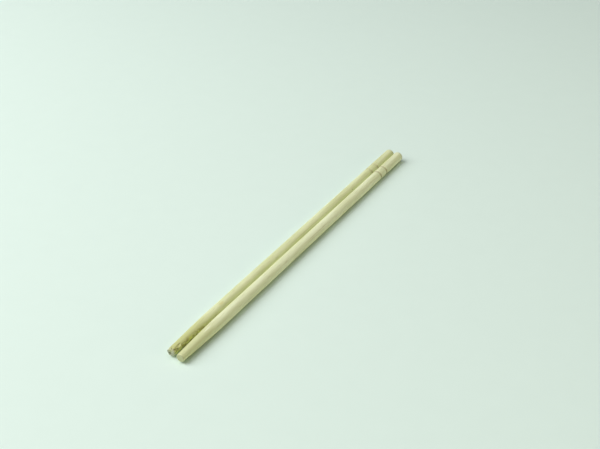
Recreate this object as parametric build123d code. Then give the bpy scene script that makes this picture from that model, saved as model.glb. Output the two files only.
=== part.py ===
from build123d import *
import math
import os

# A pair of round disposable bamboo chopsticks, lying side by side on a table.
# Lengths are in millimetres. X runs along the sticks, from the tips at -X to the heads
# at +X, and Z is up. The origin is on the table, at the middle of the pair.

# Each stick is one turned piece: a plain round shaft with a tapered tip
stick_length = 210.0
shaft_diameter = 5.5
tip_diameter = 3.9
taper_length = 24.5
shoulder_easing = 3.0    # half the length over which the taper runs into the shaft
tip_rounding = 0.45
head_rounding = 0.9
seam_angle = 5.0         # where the turned surface closes, off the lines of its top and foot

# Two shallow rings are turned near the head
ring_count = 2
ring_from_head = 20.6    # the outer ring's middle
ring_spacing = 6.7
ring_width = 1.5
ring_depth = 0.32
ring_lip_rounding = 0.3

# The two sticks lie against each other, the rear one a little further to the heads' side
lying_gap = 0.05
lying_shift = 0.4

# The rear stick's tip is worn: its end is uneven and pitted, and its rim is split and chipped
worn_end_depth = 0.5     # how far the lower edge of the end has worn back
end_pit_height = 1.5
end_pit_width = 2.0
end_pit_depth = 0.45
end_pit_offset = 0.55    # how far the pit's middle lies below and behind the end's middle
split_mouth = 0.34
split_depth = 5.2
split_angle = 28.0       # how far the split is turned from upright
split_offset = 0.35
rim_chip_length = 1.7
rim_chip_width = 1.7
rim_chip_depth = 0.45
rim_chip_angle = 8.0
side_chip_from_tip = 4.7
side_chip_length = 3.0
side_chip_width = 1.1
side_chip_depth = 0.28
side_chip_angle = 40.0

cutter_overrun = 1.0

shaft_radius = shaft_diameter / 2
tip_radius = tip_diameter / 2


def stick_outline():
    """Half of the stick's lengthwise section, from the tip's face at X = 0."""
    tip_corner = (0, tip_radius)
    shoulder = (taper_length, shaft_radius)
    head_corner = (stick_length, shaft_radius)
    section = make_face(
        Polyline((0, 0), tip_corner, shoulder, head_corner, (stick_length, 0), close=True)
    )
    taper_angle = math.atan2(shaft_radius - tip_radius, taper_length)
    shoulder_radius = shoulder_easing / math.tan(taper_angle / 2)
    for corner, radius in (
        (tip_corner, tip_rounding),
        (shoulder, shoulder_radius),
        (head_corner, head_rounding),
    ):
        section = fillet(section.vertices().sort_by_distance(corner)[0], radius)
    return section


def ring_places():
    """Distances of the rings' middles from the tip's face."""
    outer = stick_length - ring_from_head
    return [outer - index * ring_spacing for index in range(ring_count)]


def turn_rings(section):
    """Cuts the rings' round grooves into the section and eases their lips."""
    groove_radius = ((ring_width / 2) ** 2 + ring_depth**2) / (2 * ring_depth)
    centre_height = shaft_radius - ring_depth + groove_radius
    for middle in ring_places():
        section -= Pos(middle, centre_height) * Circle(groove_radius)
        for side in (-1, 1):
            lip = (middle + side * ring_width / 2, shaft_radius)
            section = fillet(section.vertices().sort_by_distance(lip)[0], ring_lip_rounding)
    return section


def turned_stick():
    """A whole stick about the X axis, with its tip's face at X = 0."""
    section = Rot(90 + seam_angle, 0, 0) * turn_rings(stick_outline())
    return revolve(section, Axis.X)


def surface_height(along):
    """The stick's radius at a distance from the tip's face, on the taper."""
    return tip_radius + (shaft_radius - tip_radius) * along / taper_length


def worn_end():
    """A wedge that takes the lower edge of the tip's face back."""
    reach = tip_diameter + cutter_overrun
    section = make_face(
        Polyline(
            (-cutter_overrun, tip_radius + cutter_overrun),
            (0, tip_radius),
            (worn_end_depth, -tip_radius),
            (worn_end_depth, -tip_radius - cutter_overrun),
            (-cutter_overrun, -tip_radius - cutter_overrun),
            close=True,
        )
    )
    return extrude(Rot(90, 0, 0) * section, amount=reach / 2, both=True)


def split():
    """A narrow wedge that opens the grain from the tip's face."""
    section = make_face(
        Polyline(
            (-cutter_overrun, split_mouth / 2),
            (0, split_mouth / 2),
            (split_depth, 0),
            (0, -split_mouth / 2),
            (-cutter_overrun, -split_mouth / 2),
            close=True,
        )
    )
    wedge = extrude(section, amount=shaft_radius + cutter_overrun)
    return Rot(split_angle, 0, 0) * Pos(0, split_offset, 0) * wedge


def chip(from_tip, length, width, depth, angle):
    """A scooped chip in the taper, turned about the stick from straight up."""
    scoop = scale(Sphere(1.0), by=(length / 2, width / 2, depth))
    return Rot(angle, 0, 0) * Pos(from_tip, 0, surface_height(from_tip)) * scoop


def end_pit():
    """The hollow that is torn out of the worn end's face."""
    hollow = scale(Sphere(1.0), by=(end_pit_depth, end_pit_width / 2, end_pit_height / 2))
    return Pos(worn_end_depth / 2, end_pit_offset, -end_pit_offset) * hollow


def wear_tip(stick):
    """The rear stick's tip with its uneven end, pit, split and chips."""
    stick -= worn_end()
    stick -= end_pit()
    stick -= split()
    stick -= chip(0, rim_chip_length, rim_chip_width, rim_chip_depth, rim_chip_angle)
    stick -= chip(
        side_chip_from_tip, side_chip_length, side_chip_width, side_chip_depth, side_chip_angle
    )
    return stick


def lay_down(stick, side):
    """Lays a stick on the table, in front (-1) or behind (1) of the pair's middle."""
    along = (side * lying_shift - stick_length) / 2
    across = side * (shaft_diameter + lying_gap) / 2
    return Pos(along, across, shaft_radius) * stick


sticks = {
    "front_chopstick": lay_down(turned_stick(), -1),
    "rear_chopstick": lay_down(wear_tip(turned_stick()), 1),
}

os.makedirs("parts", exist_ok=True)
for name, stick in sticks.items():
    export_step(stick, f"parts/{name}.step")
    print(name, round(stick.volume, 1), "mm3")
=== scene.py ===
import math

import bmesh
import bpy
from mathutils import Matrix, Vector, noise


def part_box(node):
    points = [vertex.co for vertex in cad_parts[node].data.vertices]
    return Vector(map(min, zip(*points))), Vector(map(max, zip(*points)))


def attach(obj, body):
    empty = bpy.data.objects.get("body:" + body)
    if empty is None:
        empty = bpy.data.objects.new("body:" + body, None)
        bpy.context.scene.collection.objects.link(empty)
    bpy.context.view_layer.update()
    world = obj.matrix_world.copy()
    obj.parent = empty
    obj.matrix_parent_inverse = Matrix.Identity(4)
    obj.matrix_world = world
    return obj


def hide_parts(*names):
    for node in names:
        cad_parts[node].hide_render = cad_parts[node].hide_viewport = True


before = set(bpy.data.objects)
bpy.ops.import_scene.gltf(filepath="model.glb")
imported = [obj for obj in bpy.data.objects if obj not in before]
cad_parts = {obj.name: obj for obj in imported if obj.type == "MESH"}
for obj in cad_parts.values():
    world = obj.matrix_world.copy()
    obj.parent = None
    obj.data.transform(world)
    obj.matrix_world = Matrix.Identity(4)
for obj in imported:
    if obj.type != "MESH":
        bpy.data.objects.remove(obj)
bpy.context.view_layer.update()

# Sizes are in metres, in the frame of the model: X runs from the tips to the heads, Z is up
MM = 0.001

# The turned stick; its length, radius and place come from the frame
front_low, front_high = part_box("front_chopstick")
STICK_LENGTH = front_high[0] - front_low[0]
STICK_RADIUS = (front_high[2] - front_low[2]) / 2
TIP_RADIUS = 1.95 * MM
TAPER_LENGTH = 24.5 * MM
SHOULDER_EASING = 3.0 * MM       # half the length over which the taper runs into the shaft
TIP_ROUNDING = 0.45 * MM
HEAD_ROUNDING = 0.9 * MM
RING_COUNT = 2
RING_FROM_HEAD = 20.6 * MM       # the outer ring's middle
RING_SPACING = 6.7 * MM
RING_WIDTH = 1.5 * MM
RING_DEPTH = 0.32 * MM
RING_LIP = 0.2 * MM
RING_FLOOR = 0.95                # the share of a groove's sides that its rounded floor takes up
ROUND_SEGMENTS = 6               # edges in each rounded corner of the section

# How finely the stick's surface is divided
TURN_STEPS = 180
SHAFT_STEP = 0.8 * MM
TIP_STEP = 0.07 * MM
FINE_REACH = 8.0 * MM            # the length of the tip that is divided finely
TURN_MERGE = TIP_STEP / 20       # points nearer than this are merged after the turning,
CUT_MERGE = TIP_STEP / 1000      # and after the cut only nearer ones, which pinches fewer edges

# What the lathe and the grain leave: how far the surface lies below the true round
WAVE_DEPTH = 0.025 * MM
WAVE_LENGTH = 16.0 * MM
WAVE_WIDTH = 2.6 * MM
FIBRE_DEPTH = 0.012 * MM
FIBRE_LENGTH = 9.0 * MM
FIBRE_WIDTH = 0.45 * MM
FIBRE_SEED = 31.7                # keeps the fibres' noise apart from the waves'
GRAIN_CONTRAST = 0.7

# The rear stick's worn end
WORN_DEPTH = 0.5 * MM            # how far the lower edge of the end has worn back
TEAR_REACH = 2.4 * MM            # how far from the end the fibres are pressed back
LUMP_DEPTH = 0.34 * MM           # of the broad lumps and hollows of the torn end
LUMP_WIDTH = 1.0 * MM
BUNDLE_DEPTH = 0.3 * MM          # how far the shortest bundles are torn back
BUNDLE_WIDTH = 0.24 * MM
WORN_ROUNDING = 0.15 * MM        # what is left of the rim's rounding
PIT_WIDTH = 2.0 * MM
PIT_HEIGHT = 1.5 * MM
PIT_DEPTH = 0.45 * MM
PIT_OFFSET = 0.55 * MM           # how far the pit lies below and behind the end's middle
PIT_FLOOR = 0.3                  # the pit is flat out to this share of its half width,
PIT_LIP = 1.1                    # and ends at this one
BUNDLE_SPREAD = 7                # gives neighbouring bundles depths of their own
# The torn end is painted darker in its pit, low on its face and in the bundles torn back: partly
# dirt, partly painted shade
DARKENED_LOW = -1.3 * MM           # the end is darkened from here, below and behind its middle, to here, above and in front of it
DARKENED_HIGH = 0.9 * MM           # to here, above and in front of it
DARKENED_LEAST = 0.1
DARKENED_BY_BUNDLE = 0.5           # how much more the bundles that are torn back are darkened
DARKENED_SIDE_START = 0.05 * MM    # on the side the darkening starts to fade here
DARKENED_SIDE_END = 0.4 * MM

# The worn tip's side
RIM_WEAR = 0.16 * MM
RIM_REACH = 1.5 * MM
RIM_GRAIN_LENGTH = 2 * MM
RIM_GRAIN_WIDTH = 0.6 * MM
RIM_SEED = 5.1
SPLIT_MOUTH = 0.34 * MM
SPLIT_DEPTH = 5.2 * MM
SPLIT_ANGLE = math.radians(28)   # turned from upright towards the front stick
SPLIT_OFFSET = 0.35 * MM
SPLIT_WANDER = 0.08 * MM
SPLIT_WAVE = 1.1 * MM
SPLIT_SEED = 3
SPLIT_CUTS = 7
SPLIT_OVERRUN = 1.0 * MM         # how far the cutter reaches past the stick
RIM_CRACK_START = 0.95 * MM      # from the end, where the crack behind the rim begins,
RIM_CRACK_SWEEP = 2.2 * MM       # and how much further from it the crack ends
RIM_CRACK_FROM = math.radians(10)
RIM_CRACK_TO = math.radians(56)
RIM_CRACK_WIDTH = 0.42 * MM
RIM_CRACK_DEPTH = 0.28 * MM
RIM_CRACK_WANDER = 0.35 * MM
RIM_CRACK_BENDS = 4
RIM_CRACK_SEED = 7
RIM_CRACK_FULL = 0.45            # from its middle, the share of its sweep where it starts to fade,
RIM_CRACK_GONE = 0.75            # and where it has faded
FRAY_DEPTH = 0.1 * MM            # of the fine cracks that run along the grain from the end
FRAY_REACH = 5.0 * MM
FRAY_LENGTH = 5.0 * MM
FRAY_WIDTH = 0.5 * MM
FRAY_SHARPNESS = 0.14
FRAY_FULL = 0.4                  # the share of their reach over which they are at their deepest
FRAY_GRIME_AND_SHADE = 0.6
HOLLOW_UNEVENNESS = 0.5          # how much the grain breaks up a chip or a nick
HOLLOW_GRAIN_LENGTH = 1.6 * MM
HOLLOW_GRAIN_WIDTH = 0.22 * MM
HOLLOW_SEED = 9.4
NICK_FULL_DEPTH = 0.15 * MM      # a nick as deep as this is painted fully dark, partly for dirt and partly as painted shade
CHIP_BARE_DEPTH = 0.1 * MM       # and a chip as deep as this shows bare wood
# Each hollow: millimetres from the end, degrees from upright towards the front stick, then
# its length, width and depth in millimetres
CHIPS = ((0.0, 8, 2.0, 1.9, 0.55), (4.7, 40, 3.6, 1.4, 0.36))
NICKS = ((1.2, -3, 1.4, 0.6, 0.18), (1.7, 43, 1.7, 0.6, 0.25), (3.2, 54, 2.1, 0.5, 0.20),
         (5.2, 27, 3.0, 0.45, 0.13), (6.8, 52, 2.6, 0.4, 0.10))


def linear(hex_colour):
    """An sRGB hex colour as the linear colour that Blender's sockets take."""
    channels = [int(hex_colour[i:i + 2], 16) / 255 for i in (1, 3, 5)]
    curved = [c / 12.92 if c <= 0.04045 else ((c + 0.055) / 1.055) ** 2.4 for c in channels]
    return (*curved, 1.0)


def add_node(tree, kind, inputs=None, output=0, **settings):
    """Adds a shader node and returns one of its outputs. Its inputs are values for its
    sockets, or the outputs that are linked to them."""
    node = tree.nodes.new("ShaderNode" + kind)
    for name, value in settings.items():
        setattr(node, name, value)
    for socket, value in (inputs or {}).items():
        if isinstance(value, bpy.types.NodeSocket):
            tree.links.new(value, node.inputs[socket])
        else:
            node.inputs[socket].default_value = value
    return node.outputs[output] if node.outputs else None


# Turning the sticks

def ring_middles():
    """Distances of the rings' middles from the tip's face."""
    outer = STICK_LENGTH - RING_FROM_HEAD
    return [outer - ring * RING_SPACING for ring in reversed(range(RING_COUNT))]


def section_corners(tip_rounding):
    """The corners of the stick's lengthwise section, each with how far its rounding reaches."""
    groove_radius = ((RING_WIDTH / 2) ** 2 + RING_DEPTH ** 2) / (2 * RING_DEPTH)
    vee_depth = RING_WIDTH / 2 * math.tan(math.asin(RING_WIDTH / 2 / groove_radius))
    slope = math.hypot(RING_WIDTH / 2, vee_depth)
    fine_radius = TIP_RADIUS + (STICK_RADIUS - TIP_RADIUS) * FINE_REACH / TAPER_LENGTH
    corners = [
        (0, 0, 0),
        (0, TIP_RADIUS, tip_rounding),
        (FINE_REACH, fine_radius, 0),
        (TAPER_LENGTH, STICK_RADIUS, SHOULDER_EASING),
    ]
    for middle in ring_middles():
        corners += [
            (middle - RING_WIDTH / 2, STICK_RADIUS, RING_LIP),
            (middle, STICK_RADIUS - vee_depth, RING_FLOOR * (slope - RING_LIP)),
            (middle + RING_WIDTH / 2, STICK_RADIUS, RING_LIP),
        ]
    return corners + [(STICK_LENGTH, STICK_RADIUS, HEAD_ROUNDING), (STICK_LENGTH, 0, 0)]


def draw_section(bm, tip_rounding):
    """Draws the section as a chain of edges, with rounded corners, divided for turning."""
    corners = section_corners(tip_rounding)
    chain = [bm.verts.new((x, 0, height)) for x, height, _ in corners]
    for ends in zip(chain, chain[1:]):
        bm.edges.new(ends)
    for corner, (_, _, reach) in zip(chain, corners):
        if reach:
            bmesh.ops.bevel(
                bm, geom=[corner], offset=reach, offset_type="OFFSET", affect="VERTICES",
                segments=ROUND_SEGMENTS, profile=0.5, material=-1,
            )
    for edge in bm.edges[:]:
        near_tip = max(vert.co.x for vert in edge.verts) < FINE_REACH + TIP_STEP / 2
        cuts = math.ceil(edge.calc_length() / (TIP_STEP if near_tip else SHAFT_STEP)) - 1
        if cuts:
            bmesh.ops.subdivide_edges(bm, edges=[edge], cuts=cuts)


def turn_stick(tip_rounding):
    """A whole stick about the X axis, with its tip's face at X = 0."""
    bm = bmesh.new()
    draw_section(bm, tip_rounding)
    bmesh.ops.spin(
        bm, geom=bm.verts[:] + bm.edges[:], cent=(0, 0, 0), axis=(1, 0, 0), dvec=(0, 0, 0),
        angle=2 * math.pi, steps=TURN_STEPS, use_merge=True, use_duplicate=False,
    )
    bmesh.ops.remove_doubles(bm, verts=bm.verts[:], dist=TURN_MERGE)
    return bm


def grain_noise(place, length, width, seed):
    """Smooth noise from 0 to 1 on the stick, stretched along its grain."""
    point = Vector((place.x / length + seed, place.y / width, place.z / width))
    return min(1.0, max(0.0, 0.5 + GRAIN_CONTRAST * noise.noise(point)))


def relieve_grain(bm, seed):
    """Lowers the surface here and there, as the lathe and the grain of real bamboo leave it."""
    for vert in bm.verts:
        outward = Vector((0, vert.co.y, vert.co.z))
        if outward.length < TIP_RADIUS / 2:
            continue
        wave = WAVE_DEPTH * grain_noise(vert.co, WAVE_LENGTH, WAVE_WIDTH, seed)
        fibre = FIBRE_DEPTH * grain_noise(vert.co, FIBRE_LENGTH, FIBRE_WIDTH, seed + FIBRE_SEED)
        vert.co -= outward.normalized() * (wave + fibre)


# Wear of the rear stick's tip

def fade(value, start, end):
    """Falls smoothly from 1 at the start to 0 at the end."""
    share = min(1.0, max(0.0, (value - start) / (end - start)))
    return 1 - share * share * (3 - 2 * share)


def turned_forward(place):
    """How far a place on the stick is turned from upright, towards the front stick."""
    return math.atan2(-place.y, place.z)


def hollow_depth(place, hollow):
    """How deep a hollow of the tables above is at a place on the tip's side. The grain makes
    its edge and its floor uneven."""
    from_end, angle, length, width, depth = hollow
    along = (place.x / MM - from_end) / (length / 2)
    across = TIP_RADIUS / MM * (turned_forward(place) - math.radians(angle)) / (width / 2)
    grain_here = grain_noise(place, HOLLOW_GRAIN_LENGTH, HOLLOW_GRAIN_WIDTH, HOLLOW_SEED)
    uneven = HOLLOW_UNEVENNESS * grain_here
    return depth * MM * max(0.0, 1 - along ** 2 - across ** 2 - uneven)


def rim_crack(place):
    """From 0 to 1, how near a place is to the crack that slants round behind the worn rim."""
    sweep = (turned_forward(place) - RIM_CRACK_FROM) / (RIM_CRACK_TO - RIM_CRACK_FROM)
    bend = noise.noise(Vector((RIM_CRACK_BENDS * sweep, 0, RIM_CRACK_SEED)))
    wander = RIM_CRACK_WANDER * bend
    middle = RIM_CRACK_START + RIM_CRACK_SWEEP * max(0.0, sweep) ** 2 + wander
    ends = fade(abs(sweep - 0.5), RIM_CRACK_FULL, RIM_CRACK_GONE)
    return ends * fade(abs(place.x - middle), 0, RIM_CRACK_WIDTH / 2)


def torn_end(place):
    """How far back the end's face lies at a place on it, and how dark it is painted there: slanted,
    pitted, and torn bundle by bundle, and darker in the pit, low on the face and where bundles are
    torn back, partly for dirt and partly as painted shade."""
    slant = WORN_DEPTH * (TIP_RADIUS - place.z) / (2 * TIP_RADIUS)
    across = (place.y - PIT_OFFSET) / (PIT_WIDTH / 2)
    up = (place.z + PIT_OFFSET) / (PIT_HEIGHT / 2)
    pit = fade(math.hypot(across, up), PIT_FLOOR, PIT_LIP)
    across_grain = Vector((0, place.y, place.z))
    lump = 0.5 + 0.5 * noise.noise(across_grain / LUMP_WIDTH)
    bundle_middle = noise.voronoi(across_grain / BUNDLE_WIDTH)[1][0]
    bundle = 0.5 + 0.5 * noise.noise(BUNDLE_SPREAD * bundle_middle)
    low = fade((place.z - place.y) / math.sqrt(2), DARKENED_LOW, DARKENED_HIGH)
    depth = slant + PIT_DEPTH * pit + LUMP_DEPTH * lump + BUNDLE_DEPTH * bundle
    return depth, max(pit, low * (DARKENED_LEAST + DARKENED_BY_BUNDLE * bundle))


def fray(place):
    """From 0 to 1, how near a place is to one of the fine cracks that run along the grain."""
    point = Vector((place.x / FRAY_LENGTH, place.y / FRAY_WIDTH, place.z / FRAY_WIDTH))
    near_crack = fade(abs(noise.noise(point)), 0, FRAY_SHARPNESS)
    return near_crack * fade(place.x, FRAY_FULL * FRAY_REACH, FRAY_REACH)


def wear_tip(bm):
    """Wears the tip's side and tears its end back, and marks each point with how dark it is painted
    there, partly for dirt and partly as painted shade in its cracks, nicks and torn end, and with
    how freshly the wood is chipped."""
    grime_and_shade = bm.verts.layers.float.new("grime_and_shade")
    bare = bm.verts.layers.float.new("bare")
    for vert in bm.verts:
        place = vert.co.copy()
        if place.x >= FINE_REACH:
            continue
        rim_grain = grain_noise(place, RIM_GRAIN_LENGTH, RIM_GRAIN_WIDTH, RIM_SEED)
        rim = RIM_WEAR * fade(place.x, 0, RIM_REACH) * rim_grain
        chip = max(hollow_depth(place, hollow) for hollow in CHIPS)
        nick = max(hollow_depth(place, hollow) for hollow in NICKS)
        crack = rim_crack(place)
        frayed = fray(place)
        inward = rim + chip + nick + RIM_CRACK_DEPTH * crack + FRAY_DEPTH * frayed
        inward /= TIP_RADIUS
        vert.co = (place.x, place.y * (1 - inward), place.z * (1 - inward))
        # The crack, the fine cracks and the nicks are painted darker the deeper they are: partly
        # dirt, partly painted shade
        vert[grime_and_shade] = max(crack, FRAY_GRIME_AND_SHADE * frayed, min(1.0, nick / NICK_FULL_DEPTH))
        vert[bare] = min(1.0, chip / CHIP_BARE_DEPTH)
        if place.x < TEAR_REACH:
            depth, darkened = torn_end(place)
            vert.co.x += depth * (1 - place.x / TEAR_REACH)
            darkened *= fade(place.x, DARKENED_SIDE_START, DARKENED_SIDE_END)
            vert[grime_and_shade] = max(vert[grime_and_shade], darkened)


def split_wedge():
    """A narrow wavy wedge that opens the grain from the tip's end, painted dark inside, partly for
    dirt and partly as painted shade in the split.
    """
    height = TIP_RADIUS + 2 * SPLIT_OVERRUN
    bm = bmesh.new()
    grime_and_shade = bm.verts.layers.float.new("grime_and_shade")
    corners = [
        bm.verts.new((x, y, 0))
        for x, y in (
            (-SPLIT_OVERRUN, -SPLIT_MOUTH / 2), (0, -SPLIT_MOUTH / 2), (SPLIT_DEPTH, 0),
            (0, SPLIT_MOUTH / 2), (-SPLIT_OVERRUN, SPLIT_MOUTH / 2),
        )
    ]
    outline = [bm.edges.new(pair) for pair in zip(corners, corners[1:] + corners[:1])]
    bmesh.ops.subdivide_edges(bm, edges=outline, cuts=SPLIT_CUTS)
    face = bmesh.ops.contextual_create(bm, geom=bm.edges[:])["faces"]
    raised = bmesh.ops.extrude_face_region(bm, geom=face)["geom"]
    top = [item for item in raised if isinstance(item, bmesh.types.BMVert)]
    bmesh.ops.translate(bm, verts=top, vec=(0, 0, height))
    for vert in bm.verts:
        wave = noise.noise(Vector((vert.co.x / SPLIT_WAVE, 0, SPLIT_SEED)))
        vert.co.y += SPLIT_OFFSET + SPLIT_WANDER * wave
        # painted dark inside the split: partly dirt, partly painted shade
        vert[grime_and_shade] = 1.0
    bmesh.ops.rotate(
        bm, verts=bm.verts[:], cent=(0, 0, 0), matrix=Matrix.Rotation(SPLIT_ANGLE, 3, "X")
    )
    bmesh.ops.recalc_face_normals(bm, faces=bm.faces[:])
    return bm


# Making the pieces

def as_object(bm, name):
    """Makes a mesh object of the bmesh."""
    mesh = bpy.data.meshes.new(name)
    bm.to_mesh(mesh)
    bm.free()
    piece = bpy.data.objects.new(name, mesh)
    bpy.context.scene.collection.objects.link(piece)
    return piece


def cut_away(piece, cutter):
    """Cuts the cutter out of the piece for good. The cut is fragile: a split 5.1 mm deep or a
    wander of 0.07 mm spoils the mesh, so after any change to the worn tip it has to be checked
    for edges that four faces share. As it stands it has one."""
    cut = piece.modifiers.new("cut", "BOOLEAN")
    cut.operation = "DIFFERENCE"
    cut.solver = "EXACT"
    cut.object = cutter
    cut_mesh = bpy.data.meshes.new_from_object(
        piece.evaluated_get(bpy.context.evaluated_depsgraph_get())
    )
    piece.modifiers.clear()
    piece.data = cut_mesh
    bpy.data.objects.remove(cutter)


def place_stick(piece, node, tip, material):
    """Moves the mesh to its place and makes it the piece that stands for its node."""
    bm = bmesh.new()
    bm.from_mesh(piece.data)
    bmesh.ops.remove_doubles(bm, verts=bm.verts[:], dist=CUT_MERGE)
    bmesh.ops.dissolve_degenerate(bm, edges=bm.edges[:], dist=CUT_MERGE)
    bmesh.ops.recalc_face_normals(bm, faces=bm.faces[:])
    bmesh.ops.translate(bm, verts=bm.verts[:], vec=tip)
    for face in bm.faces:
        face.smooth = True
    bm.to_mesh(piece.data)
    bm.free()
    piece.data.materials.clear()
    piece.data.materials.append(material)
    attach(piece, "root")
    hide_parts(node)


def mark_surfaces(piece, tip):
    """Marks each point, for the material, with how deep it lies in a ring's groove and with
    how squarely the surface there cuts across the grain."""
    groove = piece.data.attributes.new("groove", "FLOAT", "POINT")
    end_grain = piece.data.attributes.new("end_grain", "FLOAT", "POINT")
    for vert in piece.data.vertices:
        place = vert.co - tip
        beside = min(abs(place.x - middle) for middle in ring_middles())
        depth = STICK_RADIUS - math.hypot(place.y, place.z)
        share = min(1.0, max(0.0, depth / RING_DEPTH))
        groove.data[vert.index].value = share if beside < RING_WIDTH / 2 else 0.0
        end_grain.data[vert.index].value = abs(vert.normal.x)


# Materials

COLOUR_A, COLOUR_B, COLOUR_OUT = 6, 7, 2     # the Mix node's sockets for colours

VESSEL_COLOUR = "#A39666"
# Used for the end grain, and for painted shade on the head's rounded rim
END_GRAIN_AND_SHADE_COLOUR = "#9E9C78"
TONE_COLOUR = "#CACD8A"
STAIN_COLOUR = "#A49C4B"
MOTTLE_COLOUR = "#DDE376"
TORN_COLOUR = "#E9ECCB"
# Dark olive for dirt, and for painted shade in the worn tip's cracks, nicks, pit, split and the
# gaps between torn fibres
GRIME_AND_SHADE_COLOUR = "#75765A"
BARE_COLOUR = "#E2E4A2"

BAMBOO_IOR = 1.53
SKIN_ROUGHNESS = 0.46
OPEN_GRAIN_ROUGHNESS = 0.7
GRAIN_RELIEF = 0.03 * MM
GRAIN_RELIEF_STRENGTH = 0.35
TORN_RELIEF = 0.08 * MM
TORN_RELIEF_STRENGTH = 0.8
VESSEL_SHARE = 0.3
GROOVE_SHARE = 0.6

BUNDLE_RUN = 40 * MM             # fibre bundles keep their place for about this far,
BUNDLE_SPACING = 0.7 * MM        # and lie this far apart in the culm
VESSEL_LENGTH = 5 * MM
VESSEL_WIDTH = 0.2 * MM          # coarser than the real 0.1 mm, which would not show
CLOUD_LENGTH = 22 * MM           # clouds of tone, from one layer of the culm to the next
CLOUD_WIDTH = 2.4 * MM
FLECK_LENGTH = 1.9 * MM
FLECK_WIDTH = 0.9 * MM
TORN_FIBRE_LENGTH = 4 * MM
TORN_FIBRE_WIDTH = 0.16 * MM     # coarser than the real fibres, like a brush
# The head's rounded rim is painted darker: partly its end grain, partly painted shade where it
# turns away from the light
HEAD_RIM_START = 1.5 * MM        # from the head's end, where its rim starts to darken,
HEAD_RIM_END = 0.5 * MM          # and where it is darkest
HEAD_RIM_GRAIN_AND_SHADE_SHARE = 0.4
YELLOWED_START = 12 * MM         # from the tip's end, where the yellowing starts to fade,
YELLOWED_END = 34 * MM           # and where it ends
SOAKED_START = 12 * MM           # the same for the stain that soaked in
SOAKED_END = 46 * MM
SOAKED_FULL_HEIGHT = 0.8 * MM    # above the stick's axis, where the stain is still full,
SOAKED_TOP = 2.4 * MM            # and where it ends
TORN_START = 0.7 * MM            # from the tip's end, where the torn end's grey starts to fade,
TORN_END = 1.6 * MM              # and where it ends


def lay_over(tree, ground, *coats):
    """Lays coats over a ground colour, each one where its share says."""
    for share, coat in coats:
        ground = add_node(
            tree, "Mix", {"Factor": share, COLOUR_A: ground, COLOUR_B: linear(coat)},
            COLOUR_OUT, data_type="RGBA",
        )
    return ground


def grain(tree, place):
    """The fibre bundles and the vessels that the round cuts through, as two masks."""
    bundle_place = add_node(
        tree, "Mapping",
        {"Vector": place, "Scale": (BUNDLE_RUN, BUNDLE_SPACING, BUNDLE_SPACING)},
        vector_type="TEXTURE",
    )
    distance = add_node(tree, "TexVoronoi", {"Vector": bundle_place, "Scale": 1.0}, "Distance")
    colour = add_node(tree, "TexVoronoi", {"Vector": bundle_place, "Scale": 1.0}, "Color")
    weight = add_node(tree, "SeparateColor", {"Color": colour}, "Red")
    core = add_node(
        tree, "MapRange",
        {"Value": distance, "From Min": 0.1, "From Max": 0.5, "To Min": 1.0, "To Max": 0.0},
        interpolation_type="SMOOTHSTEP",
    )
    bundles = add_node(tree, "Math", {0: core, 1: weight}, operation="MULTIPLY")
    vessel_place = add_node(
        tree, "Mapping", {"Vector": place, "Scale": (VESSEL_LENGTH, VESSEL_WIDTH, VESSEL_WIDTH)},
        vector_type="TEXTURE",
    )
    pores = add_node(tree, "TexNoise", {"Vector": vessel_place, "Scale": 1.0, "Detail": 2.0}, "Fac")
    vessels = add_node(
        tree, "MapRange", {"Value": pores, "From Min": 0.56, "From Max": 0.68},
        interpolation_type="SMOOTHSTEP",
    )
    return bundles, vessels


def spot(tree, place, from_end, angle, length, width, share):
    """A mask over one small mark on the side of the shaft or the taper."""
    on_taper = TIP_RADIUS + (STICK_RADIUS - TIP_RADIUS) * from_end / TAPER_LENGTH
    radius = min(STICK_RADIUS, on_taper)
    turn = math.radians(angle)
    middle = (from_end, -radius * math.sin(turn), radius * math.cos(turn))
    near = add_node(
        tree, "Mapping", {"Vector": place, "Location": middle, "Scale": (length, width, width)},
        vector_type="TEXTURE",
    )
    away = add_node(tree, "VectorMath", {0: near}, "Value", operation="LENGTH")
    return add_node(
        tree, "MapRange",
        {"Value": away, "From Min": 0.15, "From Max": 0.5, "To Min": share, "To Max": 0.0},
        interpolation_type="SMOOTHSTEP",
    )


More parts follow.
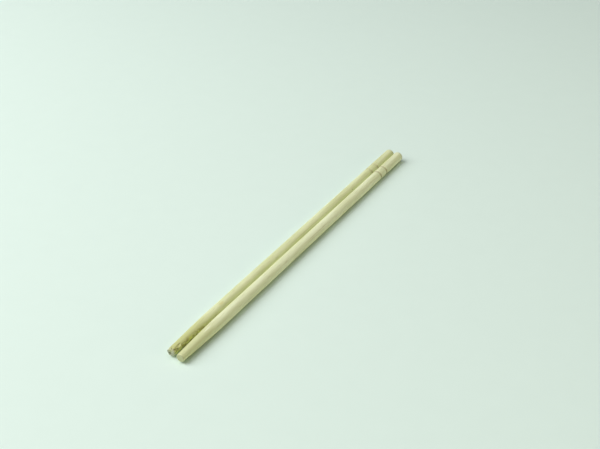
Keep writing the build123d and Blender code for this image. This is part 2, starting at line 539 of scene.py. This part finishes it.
def stained_and_shaded(tree, place, colour):
    """Grime that soaked into the worn tip: mottled olive along its lower half and fading up
    the stick, pale grey on the torn end, dark in its cracks, nicks and pit, partly for dirt and
    partly as painted shade, and clean where it is chipped. Returns the colour, and a mask over the
    gaps between the torn fibres, which are painted dark as their shade."""
    x = add_node(tree, "SeparateXYZ", {"Vector": place}, "X")
    z = add_node(tree, "SeparateXYZ", {"Vector": place}, "Z")
    fleck_place = add_node(
        tree, "Mapping", {"Vector": place, "Scale": (FLECK_LENGTH, FLECK_WIDTH, FLECK_WIDTH)},
        vector_type="TEXTURE",
    )
    flecks = add_node(tree, "TexNoise", {"Vector": fleck_place, "Scale": 1.0, "Detail": 3.0}, "Fac")
    near = add_node(
        tree, "MapRange",
        {"Value": x, "From Min": SOAKED_START, "From Max": SOAKED_END, "To Min": 1.0,
         "To Max": 0.0},
        interpolation_type="SMOOTHSTEP",
    )
    low = add_node(
        tree, "MapRange",
        {"Value": z, "From Min": SOAKED_FULL_HEIGHT, "From Max": SOAKED_TOP, "To Min": 1.0,
         "To Max": 0.0},
        interpolation_type="SMOOTHSTEP",
    )
    soaked = add_node(tree, "Math", {0: near, 1: low}, operation="MULTIPLY")
    dark = add_node(
        tree, "MapRange",
        {"Value": flecks, "From Min": 0.42, "From Max": 0.51, "To Min": 0.9, "To Max": 0.1},
        interpolation_type="SMOOTHSTEP",
    )
    light = add_node(
        tree, "MapRange", {"Value": flecks, "From Min": 0.51, "From Max": 0.60, "To Max": 0.85},
        interpolation_type="SMOOTHSTEP",
    )
    dark = add_node(tree, "Math", {0: soaked, 1: dark}, operation="MULTIPLY")
    light = add_node(tree, "Math", {0: soaked, 1: light}, operation="MULTIPLY")
    torn = add_node(
        tree, "MapRange",
        {"Value": x, "From Min": TORN_START, "From Max": TORN_END, "To Min": 0.9, "To Max": 0.0},
        interpolation_type="SMOOTHSTEP",
    )
    fibre_place = add_node(
        tree, "Mapping",
        {"Vector": place, "Scale": (TORN_FIBRE_LENGTH, TORN_FIBRE_WIDTH, TORN_FIBRE_WIDTH)},
        vector_type="TEXTURE",
    )
    from_fibre = add_node(tree, "TexVoronoi", {"Vector": fibre_place, "Scale": 1.0}, "Distance")
    # Painted shade: the gaps between the torn fibres are darkened
    gaps = add_node(
        tree, "MapRange", {"Value": from_fibre, "From Min": 0.3, "From Max": 0.7, "To Max": 0.45},
        interpolation_type="SMOOTHSTEP",
    )
    gaps = add_node(tree, "Math", {0: gaps, 1: torn}, operation="MULTIPLY")
    bare = add_node(tree, "Attribute", output="Fac", attribute_name="bare")
    grime_and_shade = add_node(tree, "Attribute", output="Fac", attribute_name="grime_and_shade")
    colour = lay_over(
        tree, colour, (dark, STAIN_COLOUR), (light, MOTTLE_COLOUR), (torn, TORN_COLOUR),
        (bare, BARE_COLOUR), (gaps, GRIME_AND_SHADE_COLOUR), (grime_and_shade, GRIME_AND_SHADE_COLOUR),
    )
    return colour, gaps


def bamboo(name, tip, ground, shade, fibre, groove_tone_and_shade, tip_tone, marks=(), worn=False):
    """Bamboo, turned on a lathe and sanded, without a coating: a satin skin with long faint
    streaks where the round cuts through the fibre bundles, which show as dots on the ends."""
    material = bpy.data.materials.new(name)
    material.use_nodes = True
    tree = material.node_tree
    tree.nodes.clear()
    place = add_node(tree, "TexCoord", output="Object")
    place = add_node(tree, "Mapping", {"Vector": place, "Location": -tip})
    bundles, vessels = grain(tree, place)
    groove = add_node(tree, "Attribute", output="Fac", attribute_name="groove")
    end_grain = add_node(tree, "Attribute", output="Fac", attribute_name="end_grain")
    cloud_place = add_node(
        tree, "Mapping", {"Vector": place, "Scale": (CLOUD_LENGTH, CLOUD_WIDTH, CLOUD_WIDTH)},
        vector_type="TEXTURE",
    )
    clouds = add_node(tree, "TexNoise", {"Vector": cloud_place, "Scale": 1.0, "Detail": 3.0}, "Fac")
    cloud_share = add_node(
        tree, "MapRange", {"Value": clouds, "From Min": 0.35, "From Max": 0.65},
        interpolation_type="SMOOTHSTEP",
    )
    bundle_weight = add_node(
        tree, "MapRange", {"Value": end_grain, "To Min": 0.6, "To Max": 0.9}
    )
    bundle_share = add_node(tree, "Math", {0: bundles, 1: bundle_weight}, operation="MULTIPLY")
    vessel_share = add_node(tree, "Math", {0: vessels, 1: VESSEL_SHARE}, operation="MULTIPLY")
    # The ring grooves are painted darker by how deep a point lies in them: partly the cut's own
    # tone, partly painted shade in the groove
    groove_share = add_node(tree, "Math", {0: groove, 1: GROOVE_SHARE}, operation="MULTIPLY")
    end_share = add_node(
        tree, "MapRange",
        {"Value": end_grain, "From Min": 0.1, "From Max": 0.6, "To Max": 0.42},
        interpolation_type="SMOOTHSTEP",
    )
    # The rounded rim of the head shows end grain, and is painted darker as the shade where it turns
    # away from the light
    x = add_node(tree, "SeparateXYZ", {"Vector": place}, "X")
    rim_grain_and_shade_share = add_node(
        tree, "MapRange",
        {"Value": x, "From Min": STICK_LENGTH - HEAD_RIM_START,
         "From Max": STICK_LENGTH - HEAD_RIM_END, "To Max": HEAD_RIM_GRAIN_AND_SHADE_SHARE},
        interpolation_type="SMOOTHSTEP",
    )
    # The tip has yellowed
    tone_share = add_node(
        tree, "MapRange",
        {"Value": x, "From Min": YELLOWED_START, "From Max": YELLOWED_END, "To Min": tip_tone,
         "To Max": 0.0},
        interpolation_type="SMOOTHSTEP",
    )
    colour = lay_over(
        tree, linear(ground), (cloud_share, shade), (bundle_share, fibre),
        (vessel_share, VESSEL_COLOUR), (tone_share, TONE_COLOUR),
        (groove_share, groove_tone_and_shade), (end_share, END_GRAIN_AND_SHADE_COLOUR), (rim_grain_and_shade_share, END_GRAIN_AND_SHADE_COLOUR),
        *[(spot(tree, place, *mark), mark_colour) for mark_colour, *mark in marks],
    )
    open_grain = add_node(tree, "Math", {0: groove, 1: end_grain}, operation="MAXIMUM")
    roughness = add_node(
        tree, "MapRange",
        {"Value": open_grain, "To Min": SKIN_ROUGHNESS, "To Max": OPEN_GRAIN_ROUGHNESS},
    )
    height = add_node(tree, "Math", {0: bundles, 1: vessels}, operation="SUBTRACT")
    bump = add_node(
        tree, "Bump",
        {"Height": height, "Strength": GRAIN_RELIEF_STRENGTH, "Distance": GRAIN_RELIEF}, "Normal",
    )
    if worn:
        colour, gaps = stained_and_shaded(tree, place, colour)
        bump = add_node(
            tree, "Bump",
            {"Height": gaps, "Strength": TORN_RELIEF_STRENGTH, "Distance": TORN_RELIEF,
             "Normal": bump},
            "Normal", invert=True,
        )
    shader = add_node(
        tree, "BsdfPrincipled",
        {"Base Color": colour, "Roughness": roughness, "Normal": bump, "IOR": BAMBOO_IOR},
    )
    add_node(tree, "OutputMaterial", {"Surface": shader})
    return material


BOARD_COLOUR = "#DFF0E7"
BOARD_SPECKLE = "#DDEEE5"
BOARD_SPECKLES = 90.0            # to the metre


def board():
    """Matt painted board: an even pale mint without gloss."""
    material = bpy.data.materials.new("painted_board_matt")
    material.use_nodes = True
    tree = material.node_tree
    tree.nodes.clear()
    place = add_node(tree, "TexCoord", output="Object")
    speckle = add_node(tree, "TexNoise", {"Vector": place, "Scale": BOARD_SPECKLES}, "Fac")
    colour = lay_over(tree, linear(BOARD_COLOUR), (speckle, BOARD_SPECKLE))
    shader = add_node(
        tree, "BsdfPrincipled",
        {"Base Color": colour, "Roughness": 0.9, "Specular IOR Level": 0.2},
    )
    add_node(tree, "OutputMaterial", {"Surface": shader})
    return material


# The sticks

def make_stick(name, node, material_name, tones, tip_tone, seed, marks=(), worn=False):
    """Turns one stick, wears its tip if it is the worn one, and puts it in its node's place."""
    low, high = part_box(node)
    tip = Vector((high[0] - STICK_LENGTH, (low[1] + high[1]) / 2, (low[2] + high[2]) / 2))
    bm = turn_stick(WORN_ROUNDING if worn else TIP_ROUNDING)
    relieve_grain(bm, seed)
    if worn:
        wear_tip(bm)
    piece = as_object(bm, name)
    if worn:
        cut_away(piece, as_object(split_wedge(), "split_cutter"))
    place_stick(piece, node, tip, bamboo(material_name, tip, *tones, tip_tone, marks, worn))
    mark_surfaces(piece, tip)


# Each mark: its colour, how far from the tip's end and how many degrees from upright towards
# the front it lies, its length and width, and how strongly it shows
# A painted highlight: a pale streak on the front stick's shoulder, where the taper catches the
# light
PAINTED_HIGHLIGHT_STREAK = ("#F8F9DE", 19.7 * MM, 7, 8.0 * MM, 0.8 * MM, 0.7)
DARK_SPECK = ("#6B6342", 159.3 * MM, 52, 0.9 * MM, 0.6 * MM, 0.9)
YELLOW_PATCH = ("#DCD68E", 37.4 * MM, 10, 5.0 * MM, 2.2 * MM, 0.6)

make_stick(
    "front_stick", "front_chopstick", "bamboo_turned",
    tones=("#EDF2CA", "#E4E9BC", "#CDC895", "#A09768"), tip_tone=0.5, seed=2.3,
    marks=(PAINTED_HIGHLIGHT_STREAK,),
)
make_stick(
    "rear_stick", "rear_chopstick", "bamboo_turned_worn",
    tones=("#E6EBBB", "#DBE0AB", "#C7C187", "#C5C18C"), tip_tone=0.85, seed=14.9,
    marks=(DARK_SPECK, YELLOW_PATCH), worn=True,
)

# The studio

FLOOR_RADIUS = 0.75
FLOOR_SIDES = 128
bpy.ops.mesh.primitive_circle_add(vertices=FLOOR_SIDES, radius=FLOOR_RADIUS, fill_type="NGON")
floor = bpy.context.object
floor.name = "floor"
floor.data.materials.append(board())

# The studio's walls give little light, but look as pale as the board
WALL_COLOUR = "#EAF7F0"
WALL_LIGHT = 0.05
WALL_BRIGHTNESS = 0.9

world = bpy.data.worlds.new("studio")
bpy.context.scene.world = world
world.use_nodes = True
walls = world.node_tree
walls.nodes.clear()
seen = add_node(walls, "LightPath", output="Is Camera Ray")
strength = add_node(
    walls, "MapRange", {"Value": seen, "To Min": WALL_LIGHT, "To Max": WALL_BRIGHTNESS}
)
background = add_node(walls, "Background", {"Color": linear(WALL_COLOUR), "Strength": strength})
add_node(walls, "OutputWorld", {"Surface": background})


def softbox(name, towards, distance, size, watts, colour="#FFFFFF"):
    """A round soft lamp that looks at the sticks from a direction."""
    lamp = bpy.data.lights.new(name, "AREA")
    lamp.shape = "DISK"
    lamp.size = size
    lamp.energy = watts
    lamp.color = linear(colour)[:3]
    stand = bpy.data.objects.new(name, lamp)
    stand.location = towards.normalized() * distance
    stand.rotation_euler = towards.to_track_quat("Z", "Y").to_euler()
    bpy.context.scene.collection.objects.link(stand)


KEY_TOWARDS = Vector((-0.58, 0.85, 0.98))
KEY_DISTANCE = 1.5
KEY_SIZE = 1.5
KEY_WATTS = 23.5
TOP_TOWARDS = Vector((-0.1, 0.1, 1.0))
TOP_DISTANCE = 1.5
TOP_SIZE = 2.5
TOP_WATTS = 11.5
FILL_TOWARDS = Vector((0.05, -1.0, 0.20))
FILL_DISTANCE = 1.5
FILL_SIZE = 1.0
FILL_WATTS = 5.7
FILL_COLOUR = "#FFEDBC"
softbox("key", KEY_TOWARDS, KEY_DISTANCE, KEY_SIZE, KEY_WATTS)
softbox("top", TOP_TOWARDS, TOP_DISTANCE, TOP_SIZE, TOP_WATTS)
softbox("fill", FILL_TOWARDS, FILL_DISTANCE, FILL_SIZE, FILL_WATTS, FILL_COLOUR)

# The camera stands and looks as the photograph's did
CAMERA_LENS = 57.98              # Blender takes this and the sensor in millimetres
CAMERA_SENSOR = 36.0
CAMERA_PLACE = (-0.349376, -0.206071, 0.264525)
CAMERA_TILT = math.radians(58.0474)
CAMERA_TURN = math.radians(-59.3253)

camera_data = bpy.data.cameras.new("camera")
camera_data.lens = CAMERA_LENS
camera_data.sensor_width = CAMERA_SENSOR
camera_data.sensor_fit = "HORIZONTAL"
camera_data.clip_start = 0.01
camera = bpy.data.objects.new("camera", camera_data)
camera.location = CAMERA_PLACE
camera.rotation_euler = (CAMERA_TILT, 0, CAMERA_TURN)
bpy.context.scene.collection.objects.link(camera)
bpy.context.scene.camera = camera
bpy.context.scene.view_settings.view_transform = "Standard"
